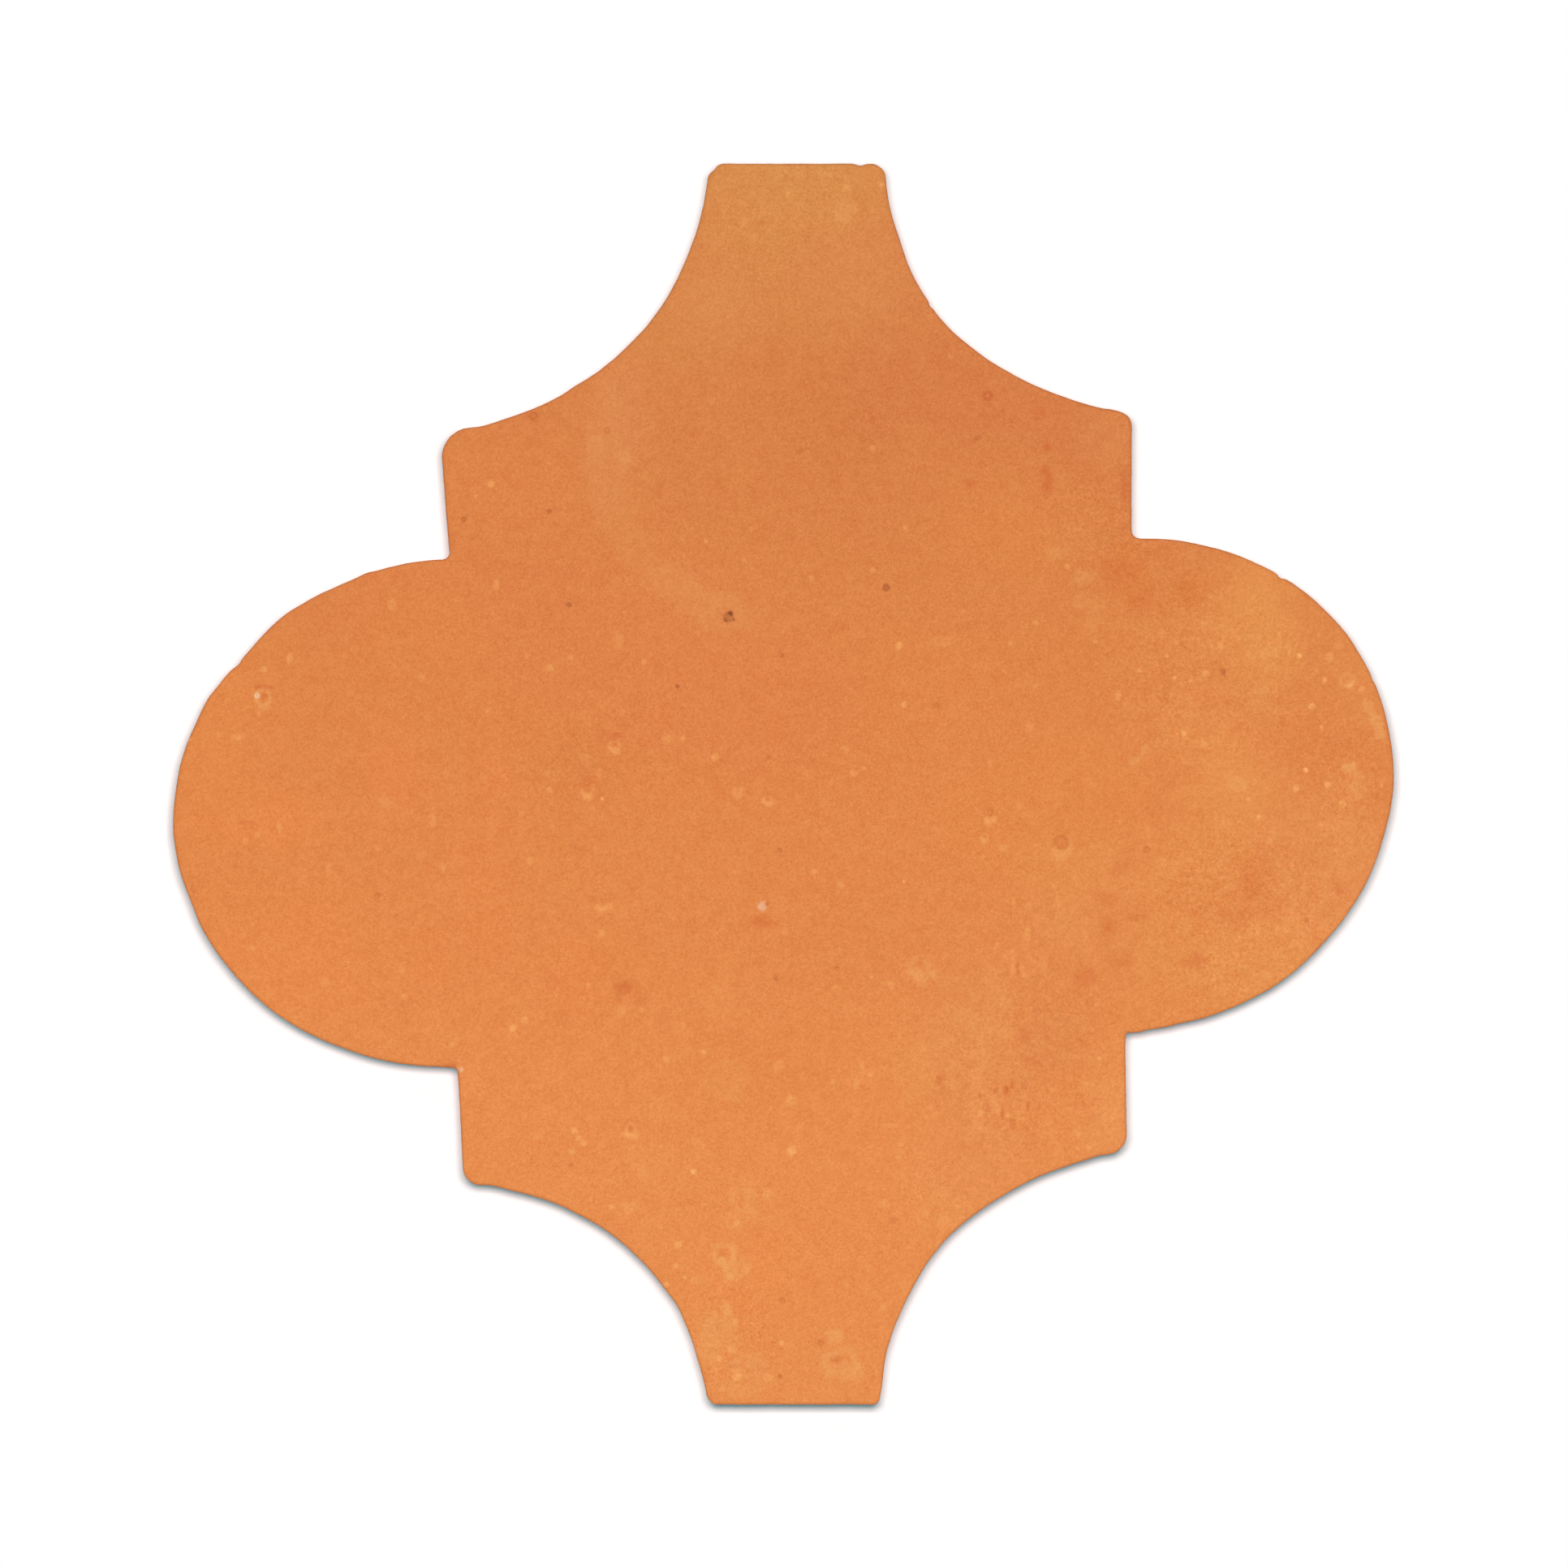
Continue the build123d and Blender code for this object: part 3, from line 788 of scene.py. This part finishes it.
def hexGrid(low, high, step):
    # points in shifted rows that fill a rectangle
    rows = np.arange(low[1], high[1], step * gridSizes["rowGap"])
    grid = [(x + (k % 2) * step / 2, y) for k, y in enumerate(rows)
            for x in np.arange(low[0], high[0], step)]
    return np.array(grid).reshape(-1, 2)


def clearOf(points, patches, spare):
    # the points that lie in none of the patches
    for place, reach, _ in patches:
        points = points[np.linalg.norm(points - place, axis=1) > reach + spare]
    return points


def filledLoop(loop, step, patches=()):
    # points inside a loop, closer in the patches, and the triangles that join them all
    random = np.random.default_rng(gridSizes["seed"])
    shake, clearance = gridSizes["shake"], gridSizes["clearance"]
    grid = hexGrid(loop.min(axis=0), loop.max(axis=0), step)
    grid = grid + random.uniform(-shake, shake, grid.shape) * step
    layers = [clearOf(grid, patches, step * clearance)]
    for k, (place, reach, spacing) in enumerate(patches):
        patch = hexGrid(place - reach, place + reach, spacing)
        patch = patch[np.linalg.norm(patch - place, axis=1) <= reach]
        layers.append(clearOf(patch, patches[:k], spacing * clearance))
    inner = np.vstack(layers)
    inner = inner[insideLoop(inner, loop)]
    edge = treeOf(loop)
    inner = inner[np.array([edge.find((x, y, 0))[2] > gridSizes["edgeGap"] for x, y in inner])]
    points = [Vector(p) for p in np.vstack([loop, inner])]
    # 1 asks for the triangles inside the loop alone
    filled = delaunay_2d_cdt(points, [], [list(range(len(loop)))], 1, 1e-6)
    return np.array([tuple(p) for p in filled[0]]), filled[2]


finePlaces = np.array([onFace(column, row) for column, row, _, _ in edgeChips])
outline = tileOutline(finePlaces)
print("outline drawn with", len(outline), "points")


def chipDepth(points):
    # how deep the chips cut in at each point of the outline
    depth = np.zeros(len(points))
    for column, row, width, deep in edgeChips:
        apart = np.linalg.norm(points - onFace(column, row), axis=1)
        depth = np.maximum(depth, deep * np.exp(-((apart / (width / 2)) ** 2)))
    return depth


def sideDepth(along, z, share):
    # how far the side is dragged in, with long lines left by the mould's wall
    depth = tileSizes["drag"]
    for far, long, high, seed in tileSizes["dragWaves"]:
        depth += far * noise(Vector((along / long, z / high, seed)))
    return max(0, depth) * float(ease(share, 0.0, tileSizes["dragStart"]))


def tileRings():
    # the outline again and again, round the face's edge, down the side and round the foot
    normals = outwards(outline)
    steps = np.linalg.norm(np.roll(outline, -1, axis=0) - outline, axis=1)
    along = np.concatenate([[0], steps.cumsum()[:-1]])
    crisp, worn = tileSizes["softEdge"]
    soft = crisp + (worn - crisp) * (0.5 + 0.5 * waves(outline, *tileSizes["wearWaves"]))
    chips = chipDepth(outline)
    chipDrop, chipFade = tileSizes["chipLean"]
    top = faceHeight(outline)
    rings = []
    for angle in tileSizes["edgeSteps"]:
        a = radians(angle)
        inset = soft * (1 - sin(a)) + chips
        drop = soft * (1 - cos(a)) + chips * chipDrop * cos(a)
        rings.append(np.column_stack([outline - normals * inset[:, None], top - drop]))
    arris = tileSizes["arris"]
    for k in range(1, tileSizes["sideRows"]):
        share = k / (tileSizes["sideRows"] - 1)
        z = (top - soft) * (1 - share) + arris * share
        inset = np.array([sideDepth(s, h, share) for s, h in zip(along, z)])
        inset = inset + chips * (1 - chipFade * share)
        rings.append(np.column_stack([outline - normals * inset[:, None], z]))
    last = rings[-1]
    ragged = 0.5 + 0.5 * waves(outline, *tileSizes["raggedWaves"])
    leastIn, moreIn = tileSizes["raggedIn"]
    leastDown, moreDown = tileSizes["raggedDown"]
    for inset, drop in tileSizes["arrisSteps"]:
        ring = last.copy()
        ring[:, :2] -= normals * (inset * (leastIn + moreIn * ragged))[:, None]
        ring[:, 2] = arris - drop * (leastDown + moreDown * ragged)
        rings.append(ring)
    return rings


def tileMesh():
    # the rings joined to each other, with the face and the underside filled in
    rings = tileRings()
    facePoints, faceFaces = filledLoop(rings[0][:, :2], tileSizes["faceGrid"], finePatches())
    footPoints, footFaces = filledLoop(rings[-1][:, :2], tileSizes["footGrid"])
    print("face filled with", len(facePoints), "points, underside with", len(footPoints))

    count, ringCount = len(outline), len(rings)
    faceInner, footInner = facePoints[count:], footPoints[count:]
    height, relief = tileSizes["bed"]
    long, seed, rough = tileSizes["bedLumps"]
    lumps = np.array([fractal(Vector((x / long, y / long, seed)), rough, *fineLayers)
                      for x, y in footInner])
    vertices = [
        np.vstack(rings),
        np.column_stack([faceInner, faceHeight(faceInner)]),
        np.column_stack([footInner, np.maximum(0, height + relief * lumps)]),
    ]

    faces = []
    for k in range(ringCount - 1):
        upper, lower = k * count, (k + 1) * count
        for i in range(count):
            j = (i + 1) % count
            faces.append((upper + i, lower + i, lower + j, upper + j))
    faceStart = ringCount * count - count
    faces += [tuple(v if v < count else v + faceStart for v in f) for f in faceFaces]
    footStart = (ringCount - 1) * count
    footInnerStart = ringCount * count + len(faceInner) - count
    faces += [
        tuple(v + footStart if v < count else v + footInnerStart for v in f)[::-1]
        for f in footFaces
    ]
    skin = np.zeros(sum(len(v) for v in vertices))  # 0 on the face, 1 on the sides, 2 below
    skin[len(tileSizes["edgeSteps"]) * count: ringCount * count] = 1
    skin[ringCount * count + len(faceInner):] = 2
    return np.vstack(vertices), faces, skin


vertices, faces, skin = tileMesh()

# How the marks fade, with places as shares of a mark's half width
markShapes = {
    "strength": {"grains": 0.82, "crescentsLitAndShaded": 0.9, "washes": 0.9},  # of all the marks of a kind
    "disc": (0.45, 1.05),  # where a crisp mark begins to fade, and where it ends
    "patch": (0.3, 1.2),  # the same for a soft one
    "film": (0.75, 1.1),  # and for a thin stain
    "farSide": (-0.1, 0.75),  # where a lump's far side begins and is full
    "hollow": (0.15, 0.55),  # where a lump's hollow begins to fade, and where it ends
    "hollowUp": 0.3,  # how far a lump's hollow lies towards its far side
    # A lump is painted as a small hollow lit from its far side: the pale it loses at its far side
    # and in its hollow, and the red-brown laid there, are painted shade
    "lumpFades": (0.4, 0.8),  # how much of a lump is lost at its far side and in its hollow
    "lumpShade": (0.65, 0.5),  # in its hollow and beyond its far side
    # the next band is where that painted shade lies beyond a lump's far side
    "scorch": (1.0, 0.25),  # the latter's place and half its width
    # a ring's rim made fainter at its far side is painted shade
    "rim": (0.78, 0.2),  # the same for a ring
    "rimFades": (0.35, 0.0, 0.8),  # how much of it is lost at its far side, from where to where
    "smallEmber": 2.5,  # millimetres, below which a fire mark is crisp
    # how far each sinks the face, in millimetres
    "fleckSinks": 0.03,
    "chalkSinks": -0.10,
    "hollowSinks": 0.14,
    "ringSinks": 0.06,
    "pitSinks": (0.8, 0.25),  # at most, and as a share of its width
    # how uneven the edges are
    "ragged": {"crescentsLitAndShaded": 0.5, "rings": 0.5, "washes": 0.5, "smears": 0.5},
    "raggedElse": 0.3,
    "lump": 0.45,  # how long the unevenness of an edge is, as a share of the mark's width
    "crumbs": (0.16, 0.75, 9),  # the smallest unevenness, its length in millimetres and its seed
    "reach": 0.8,  # how far a mark is looked for from its middle, as a share of its longer side
}


def bandOf(apart, name):
    # 1 at a band's middle, fading to both sides
    middle, half = markShapes[name]
    return np.exp(-(((apart - middle) / half) ** 2))


def markLook(kind, apart, aside, up, width):
    # what a mark adds to each field, and how far it sinks the face in millimetres
    disc = 1 - ease(apart, *markShapes["disc"])
    patch = 1 - ease(apart, *markShapes["patch"])
    top = ease(up, *markShapes["farSide"])
    if kind in ("flecks", "grains"):
        return {"pale": disc, "sunk": markShapes["fleckSinks"] * disc}
    if kind == "chalks":
        return {"chalk": disc, "sunk": markShapes["chalkSinks"] * disc}
    if kind == "crescentsLitAndShaded":
        # painted light on a small hollow: the pale stays on the lit near rim as a painted highlight,
        # and the red-brown in the hollow and past the far side is painted shade
        hollow = 1 - ease(np.hypot(aside, up - markShapes["hollowUp"]), *markShapes["hollow"])
        above = top * bandOf(apart, "scorch")
        lostAbove, lostInHollow = markShapes["lumpFades"]
        inHollow, beyond = markShapes["lumpShade"]
        return {
            "pale": disc * (1 - lostAbove * top) * (1 - lostInHollow * hollow),
            "emberAndShade": inHollow * hollow + beyond * above,
            "sunk": markShapes["hollowSinks"] * hollow,
        }
    if kind == "pits":
        # the dark tint is partly painted shade in the sunk hole
        deepest, share = markShapes["pitSinks"]
        return {"dark": disc, "sunk": min(deepest, share * width) * disc}
    if kind == "rings":
        # the rim's loss at the far side is painted shade on the far wall of the sunk middle
        rim = bandOf(apart, "rim")
        lost, *farSide = markShapes["rimFades"]
        return {
            "film": rim * (1 - lost * ease(up, *farSide)),
            "sunk": markShapes["ringSinks"] * disc,
        }
    if kind in ("washes", "smears"):
        return {"film": 1 - ease(apart, *markShapes["film"])}
    return {"emberAndShade": disc if width < markShapes["smallEmber"] else patch}


def markFields(vertices, skin):
    # how strongly each kind of mark shows at each point, and how far it sinks the face
    names = ("pale", "film", "chalk", "dark", "emberAndShade", "sunk")
    fields = {name: np.zeros(len(vertices)) for name in names}
    onTop = np.flatnonzero(skin == 0)
    for kind, marks in faceMarks.items():
        for mark in marks:
            start, end, sizes = markSizes(kind, mark)
            run = end - start
            reach = sizes.max() * markShapes["reach"] + np.linalg.norm(run) / 2
            middle = (start + end) / 2
            near = onTop[np.linalg.norm(vertices[onTop, :2] - middle, axis=1) < reach]
            xy = vertices[near, :2]
            share = np.clip((xy - start) @ run / max(run @ run, 1e-9), 0, 1)
            offset = (xy - start - share[:, None] * run) / (sizes / 2)
            lump = sizes.min() * markShapes["lump"]
            ragged = markShapes["ragged"].get(kind, markShapes["raggedElse"])
            crumbled, crumb, seed = markShapes["crumbs"]
            uneven = ragged * waves(xy, lump, lump) + crumbled * waves(xy, crumb, seed)
            apart = np.linalg.norm(offset, axis=1) * (1 + uneven)
            for name, amount in markLook(kind, apart, *offset.T, sizes.min()).items():
                if name == "sunk":
                    fields[name][near] += amount
                else:
                    amount = amount * mark[-1] * markShapes["strength"].get(kind, 1)
                    fields[name][near] = np.maximum(fields[name][near], amount)
    return fields


fields = markFields(vertices, skin)
vertices[:, 2] -= fields.pop("sunk")
print("marks laid on the face")

# How the clay's broad colours meet, in millimetres where nothing else is said
toneSizes = {
    "farNeck": (-25, 105),  # from where to where the far neck's tone comes in
    "nearNeck": (0, 110),
    "stray": ((5.0, 19), (2.2, 6)),  # how far a cloud's edge wanders, and how long each wave is
    "straySeeds": (21, 43),  # across and along
    "cloudEdge": 1.5,  # the higher, the crisper
    "veilEdge": 6,
    # how long and how high the darker patches of the sides and the underside are, and how rough
    "hiddenPatches": (26, 9, 0.8),
    "flankPatches": (0.45, 0.85),  # where such a patch begins and is full
    "bedPatches": (0.4, 0.85),
    "flankShare": 0.75,  # how much of the sides' own tones shows there
    "bedShare": 0.9,
    "nearStains": (0.3, 60),  # how much more stained the near side is, and how far it takes
    "stainEdge": (0.4, 1.2),  # where a stained place begins to fade, and where it ends
}

# The fired clay's finish. A level is one step of the screen's 255
clay = {
    "level": (225, 136, 76),  # where a level is measured
    "sheen": (0.8, 1.2, 3.8),  # levels that the light's sheen adds, taken off the tones
    "grain": 58,  # levels of the sand that shows as fine grain
    "mottle": 20,  # levels of the blotches, from half a millimetre up to a few
    "mottleTint": (0.75, 1.25, 1.0),
    "speck": 4,  # levels that the small lime specks stand out by
    "stain": 5,  # levels of the small crisp patches
    "stainTint": (0.45, 1.25, 1.1),
    "stainBalance": 0.4,  # the share of a stained place that has such a patch
    "worm": 10,  # levels of the thin pale lines in the stained places
    "wormThin": 900,  # the higher, the thinner
    "scorch": 4,  # levels of the darker patches in the stained places
    "scorchTint": (0.8, 1.2, 0.7),
    # what the marks are tinted with
    "pale": (255, 182, 106),
    "film": (241, 174, 104),
    "chalk": (255, 222, 186),
    "dark": (78, 36, 26),
    # the red-brown of the fire marks, also used for the painted shade in the crescents' hollows
    "emberAndShade": (200, 87, 42),
    "drag": (178, 92, 50),  # in the long lines of the sides
    "sand": (240, 186, 132),  # on the underside, and a little on the sides
    "shares": {"film": 0.6, "pale": 0.62, "chalk": 0.9, "dark": 0.85},  # of the tint, at most
    "grainShare": (0.88, 0.5),  # of the sand grain on plain clay, and what a stain adds
    "sandShare": (0.35, 0.6),  # on the sides and on the underside
    "lineEdge": (0.5, 0.72, 0.0, 0.55),  # from where to where, and from how much to how much
    "sandEdge": (0.48, 0.68),
    "lineStretch": (0.06, 0.06, 1),  # makes the lines long sideways
    # how high each pattern stands, as shares of the relief
    "relief": {"grain": 0.25, "grainSide": 0.25, "grainUnder": 0.45, "blotches": 0.6,
               "stains": 0.25, "pale": 0.3, "lines": 0.5, "sand": 1.1},
    "reliefDepth": 0.25,  # millimetres
    "reliefShare": 0.5,  # of it that shows
    # where the sides and the underside begin, with 0 on the face, 1 on the sides and 2 below
    "skinSides": ((0.0, 0.5), (1.9, 1.5)),
    "skinUnder": (1.5, 1.9),
    "roughness": (0.88, 0.25),  # and how much the blotches change it
    "shine": 0.22,
}

# The finish's patterns: the size of the lumps in millimetres, how much finer detail they have,
# and how rough. A pattern with an edge also has from where to where the edge goes, and from how
# much to how much where that isn't from 0 to 1
clayPatterns = {
    "blotches": (4.6, 3.5, 0.9),
    "grain": (0.62, 2, 1.0),
    "specks": (1.6, 1, 0.4, 0.68, 0.78),
    "stains": (3.4, 4, 0.75, 0.48, 0.56),
    "scorches": (2.9, 4, 0.75, 0.56, 0.62),
    "curls": (2.6, 1, 0.5),
    "wormPlaces": (4.5, 2, 0.5, 0.5, 0.6),
    "breakUp": (0.9, 3, 0.6, 0.3, 0.6, 0.45, 1.1),
    "smoulder": (2.2, 3, 0.6, 0.3, 0.65, 0.35, 0.6),
    "patchy": (1.7, 4, 0.8, 0.34, 0.6, 0.5, 1.1),
    "lines": (1.3, 3, 0.6),
    "dust": (2.2, 4, 0.75),
}


def strayed(vertices, seed):
    # how far a cloud's edge wanders at each point, in millimetres
    wander = np.zeros(len(vertices))
    for far, long in toneSizes["stray"]:
        wander += far * waves(vertices[:, :2], long, seed)
    return wander


def toneField(vertices, skin):
    # the clay's broad colour at each point
    x, y = vertices[:, 0], vertices[:, 1]
    tones = {name: np.array(tone, float) for name, tone in faceTones.items()}
    up = ease(y, *toneSizes["farNeck"])[:, None]
    down = ease(-y, *toneSizes["nearNeck"])[:, None]
    colour = tones["middle"] + up * (tones["far"] - tones["middle"])
    colour = colour + down * (tones["near"] - tones["middle"])
    strayX, strayY = (strayed(vertices, seed) for seed in toneSizes["straySeeds"])
    clouds = [(*cloud, toneSizes["cloudEdge"]) for cloud in faceClouds]
    clouds += [(*veil, toneSizes["veilEdge"]) for veil in faceVeils]
    for name, column, row, width, height, lean, strength, power in clouds:
        place = onFace(column, row)
        c, s = cos(radians(lean)), sin(radians(lean))
        dx, dy = strayX + x - place[0], strayY + y - place[1]
        u = (dx * c + dy * s) / (width * photo["pixel"] / 2)
        v = (dy * c - dx * s) / (height * photo["pixel"] / 2)
        share = (strength * np.exp(-((u * u + v * v) ** power)))[:, None]
        colour = colour + share * (tones[name] - colour)
    colour = colour - clay["sheen"]
    long, high, rough = toneSizes["hiddenPatches"]
    patch = np.array([0.5 + 0.5 * fractal(Vector((a / long, b / long, c / high)), rough, *fineLayers)
                      for a, b, c in vertices])[:, None]
    deep = ease(patch, *toneSizes["flankPatches"])
    flank = tones["flank"] + deep * (tones["flankDeep"] - tones["flank"])
    deep = ease(patch, *toneSizes["bedPatches"])
    bed = tones["bed"] + deep * (tones["bedDeep"] - tones["bed"])
    side, under = ease(skin, 0, 1)[:, None], ease(skin, 1, 2)[:, None]
    colour = colour + toneSizes["flankShare"] * side * (flank - colour)
    colour = colour + toneSizes["bedShare"] * under * (bed - colour)
    return np.column_stack([toLinear(colour), np.ones(len(x))])


def stainField(vertices):
    # how strongly the small stains show at each point
    most, reach = toneSizes["nearStains"]
    shown = most * ease(-vertices[:, 1], -reach, reach)
    for column, row, width, height, strength in stainPlaces:
        offset = (vertices[:, :2] - onFace(column, row)) / photo["pixel"]
        apart = np.linalg.norm(offset / (width / 2, height / 2), axis=1)
        shown = np.maximum(shown, strength * (1 - ease(apart, *toneSizes["stainEdge"])))
    return shown


def buildTile():
    # the mesh, with what the finish reads at each point
    mesh = bpy.data.meshes.new("tile")
    mesh.from_pydata((vertices * mm).tolist(), [], faces)
    mesh.polygons.foreach_set("use_smooth", [True] * len(mesh.polygons))
    for name, values in {**fields, "skin": skin, "stained": stainField(vertices)}.items():
        layer = mesh.attributes.new(name, "FLOAT", "POINT")
        layer.data.foreach_set("value", values.astype(np.float32))
    layer = mesh.color_attributes.new("tone", "FLOAT_COLOR", "POINT")
    layer.data.foreach_set("color", toneField(vertices, skin).astype(np.float32).ravel())
    mesh.validate()
    tile = bpy.data.objects.new("tile", mesh)
    bpy.context.scene.collection.objects.link(tile)
    return tile


tile = buildTile()
print("tile made:", len(tile.data.vertices), "points,", len(tile.data.polygons), "faces")


def firedClay():
    material, wire = newMaterial("fired clay")
    place = wire.node("ShaderNodeTexCoord", output="Object")
    shadeNames = ("pale", "film", "chalk", "dark", "emberAndShade", "drag", "sand")
    shades = {name: screenColour(*clay[name]) for name in shadeNames}
    oneLevel = toLinear(np.array(clay["level"]) + 0.5) - toLinear(np.array(clay["level"]) - 0.5)

    def tintOf(name):
        # one level of a tint, as a change of colour
        return tuple(oneLevel * clay[name])

    def field(name, output="Fac"):
        # what the mesh holds at each point
        return wire.node("ShaderNodeAttribute", {"attribute_name": name}, None, output)

    def pattern(name, at=place):
        # one of the patterns above
        size, detail, rough, *edge = clayPatterns[name]
        made = at.clouds(size, detail, rough)
        return made.eased(*edge) if edge else made

    skinField = field("skin")
    sideFrom, sideTo = clay["skinSides"]
    side = skinField.eased(*sideFrom) * skinField.eased(*sideTo)
    under = skinField.eased(*clay["skinUnder"])

    # the body: blotches of every size, sand grain and small lime specks
    stained = field("stained")
    plain, added = clay["grainShare"]
    blotches = pattern("blotches") - 0.5
    grain = (pattern("grain") - 0.5) * (plain + added * stained)
    specks = pattern("specks")
    stains = pattern("stains") - clay["stainBalance"]
    scorches = pattern("scorches")
    curls = pattern("curls") - 0.5
    # a thin line runs where this pattern passes its middle
    worms = (curls * curls * clay["wormThin"]).eased(0.0, 1.0, 1.0, 0.0) * pattern("wormPlaces")
    colour = field("tone", "Color")
    colour = colour.shifted(blotches * clay["mottle"], tintOf("mottleTint"))
    colour = colour.shifted(stains * stained * clay["stain"], tintOf("stainTint"))
    colour = colour.shifted(scorches * stained * -clay["scorch"], tintOf("scorchTint"))
    sand = grain * clay["grain"] + specks * clay["speck"] + worms * stained * clay["worm"]
    colour = colour.shifted(sand, tuple(oneLevel))

    # the marks of the face
    shares, breakUp = clay["shares"], pattern("breakUp")
    # red-brown fire marks, and the painted shade in the crescents' hollows
    colour = colour.tinted(field("emberAndShade") * pattern("smoulder"), shades["emberAndShade"])
    colour = colour.tinted(field("film") * pattern("patchy") * shares["film"], shades["film"])
    colour = colour.tinted(field("pale") * breakUp * shares["pale"], shades["pale"])
    colour = colour.tinted(field("chalk") * breakUp * shares["chalk"], shades["chalk"])
    # the dark of the holes, partly painted shade in them
    colour = colour.tinted(field("dark") * shares["dark"], shades["dark"])

    # the sides are dragged by the mould, and the underside keeps its bed of sand
    lines = pattern("lines", place.stretched(*clay["lineStretch"]))
    colour = colour.tinted(side * lines.eased(*clay["lineEdge"]), shades["drag"])
    dust = pattern("dust")
    onSide, onBed = clay["sandShare"]
    sanded = (side * onSide + under * onBed) * dust.eased(*clay["sandEdge"])
    colour = colour.tinted(sanded, shades["sand"])

    high = clay["relief"]
    height = grain * (high["grain"] + high["grainSide"] * side + high["grainUnder"] * under)
    height = height + blotches * high["blotches"]
    height = height + stains * stained * high["stains"] + field("pale") * breakUp * high["pale"]
    height = height + side * lines * high["lines"] + under * dust * high["sand"]
    depth = clay["reliefDepth"] * mm
    bump = {"Strength": clay["reliefShare"], "Distance": depth, "Height": height}
    roughness, change = clay["roughness"]
    surface = wire.node("ShaderNodeBsdfPrincipled", None, {
        "Base Color": colour,
        "Roughness": roughness + blotches * change,
        "Specular IOR Level": clay["shine"],
        "Normal": wire.node("ShaderNodeBump", None, bump),
    })
    wire.node("ShaderNodeOutputMaterial", None, {"Surface": surface})
    return material


tile.data.materials.append(firedClay())
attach(tile, "root")
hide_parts("saltillo_tile")
print("clay laid on")
